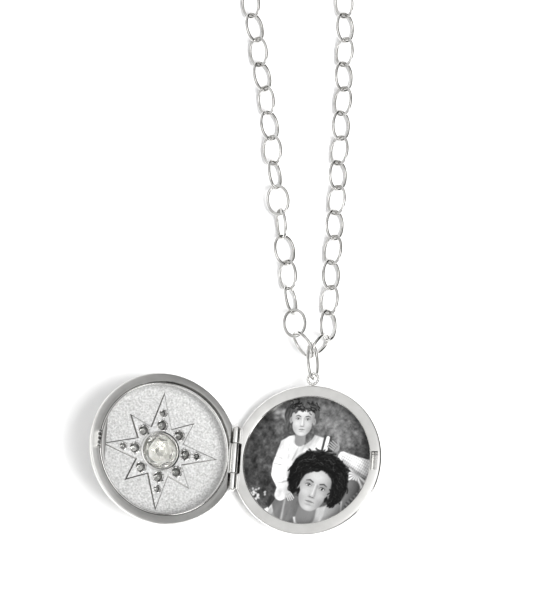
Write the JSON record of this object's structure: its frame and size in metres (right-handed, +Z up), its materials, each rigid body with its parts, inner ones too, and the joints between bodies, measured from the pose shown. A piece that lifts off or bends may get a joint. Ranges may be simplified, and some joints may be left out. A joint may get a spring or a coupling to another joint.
{
  "type": "picture locket on neck chain",
  "caption": "Round hinged picture locket open on its domed backs: star-pierced stone-set lid, picture recess, snap catch, jump ring and oval-link neck chain.",
  "frame": {"origin": "on the surface that the open locket lies on, under the middle of its outline without the chain", "axes": "+X across the open locket from the lid to the picture case, +Y from the locket towards the chain and parallel to the hinge axis, +Z up"},
  "size_m": [0.0882, 0.1887, 0.0134],
  "materials": {
    "polished_silver": "polished sterling silver",
    "satin_silver": "fine satin sterling silver",
    "frosted_silver": "sandblasted, frosted sterling silver",
    "chain_silver": "polished silver wire",
    "clear_crystal": "clear faceted crystal",
    "photo_paper": "semi-gloss black and white print"
  },
  "bodies": {
    "case": {"case_shell": "polished_silver", "case_rim": "satin_silver", "picture_bed": "satin_silver", "picture_print": "photo_paper", "catch_leaf": "polished_silver", "case_knuckle_upper": "polished_silver", "case_knuckle_lower": "polished_silver", "hinge_pin": "polished_silver", "bail_eyelet": "polished_silver"},
    "lid": {"lid_shell": "frosted_silver", "lid_rim": "satin_silver", "lid_latch_plate": "satin_silver", "lid_catch": "polished_silver", "star_plate": "frosted_silver", "centre_bezel": "polished_silver", "centre_stone": "clear_crystal", "lid_knuckle": "polished_silver", "long_point_stone_1": "clear_crystal", "long_point_stone_2": "clear_crystal", "long_point_stone_3": "clear_crystal", "long_point_stone_4": "clear_crystal", "short_point_stone_1": "clear_crystal", "short_point_stone_2": "clear_crystal", "short_point_stone_3": "clear_crystal", "short_point_stone_4": "clear_crystal", "tip_stone_1": "clear_crystal", "tip_stone_2": "clear_crystal", "tip_stone_3": "clear_crystal", "tip_stone_4": "clear_crystal"},
    "chain": {"jump_ring": "polished_silver", "first_link_left": "chain_silver", "first_link_right": "chain_silver", "chain_left": "chain_silver", "chain_right": "chain_silver", "chain_coil": "chain_silver", "clasp_body": "polished_silver", "clasp_pin": "polished_silver", "clasp_ring": "polished_silver", "end_ring": "polished_silver"},
    "clasp_lever": {"clasp_lever": "polished_silver"}
  },
  "joints": [
    {"name": "lid_hinge", "type": "hinge", "parent": "case", "child": "lid", "pos_m": [-0.00019, -0.00487, 0.00274], "axis": [0, 1, 0], "range_deg": [0, 146.2]},
    {"name": "ring_swing", "type": "hinge", "parent": "case", "child": "chain", "pos_m": [0.0149, 0.01263, 0.00596], "axis": [0, 0, 1], "range_deg": [-30, 30]},
    {"name": "clasp_lever_hinge", "type": "hinge", "parent": "chain", "child": "clasp_lever", "pos_m": [0.045, 0.11333, 0.0013], "axis": [0, 0, 1], "range_deg": [0, 20], "stiffness_Nm_per_rad": 0.002}
  ]
}
